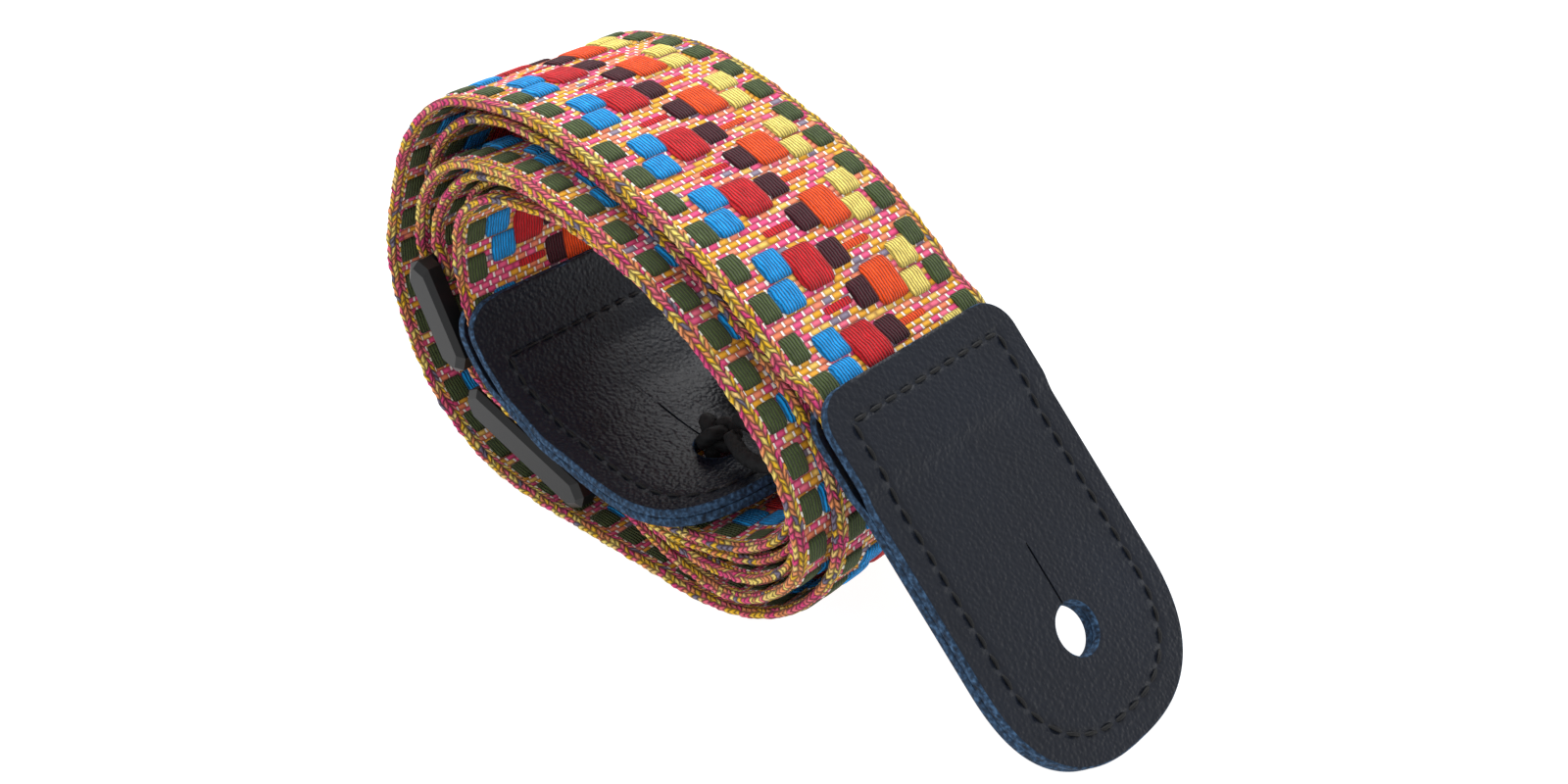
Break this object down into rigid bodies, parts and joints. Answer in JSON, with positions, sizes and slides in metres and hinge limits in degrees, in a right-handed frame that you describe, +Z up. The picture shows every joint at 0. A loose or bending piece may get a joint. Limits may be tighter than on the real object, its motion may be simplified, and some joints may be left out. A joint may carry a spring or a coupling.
{
  "type": "guitar strap",
  "caption": "Woven guitar strap rolled up on its side, with leather end tabs, a plastic ring and slider, and a tie cord.",
  "frame": {"origin": "middle of the underside of the whole rolled strap, on the table it lies on", "axes": "+Z up, the roll's axis along Y, the open outer tab pointing along +X"},
  "size_m": [0.1832, 0.0676, 0.0935],
  "materials": {
    "webbing": "woven",
    "leather": "fine pebble grain",
    "thread": "waxed",
    "plastic": "moulded satin",
    "cord": "braided",
    "band": "matt"
  },
  "bodies": {
    "roll": {"long_webbing": "webbing", "ring": "plastic", "slider": "plastic", "short_webbing": "webbing", "inner_tab_face_leather": "leather", "inner_tab_back_leather": "leather", "inner_tab_stitching": "thread", "tie_cord_knot": "cord", "tie_cord": "cord", "tie_cord_tail": "cord", "tie_cord_hank": "cord", "hank_band": "band"},
    "outer_tab": {"outer_tab_face_leather": "leather", "outer_tab_back_leather": "leather", "outer_tab_stitching": "thread", "long_webbing_end": "webbing"}
  },
  "joints": [
    {"name": "outer_tab_lift", "type": "hinge", "parent": "roll", "child": "outer_tab", "pos_m": [0.03349, -0.00075, 0.06197], "axis": [0, -1, 0], "range_deg": [0, 60]}
  ]
}
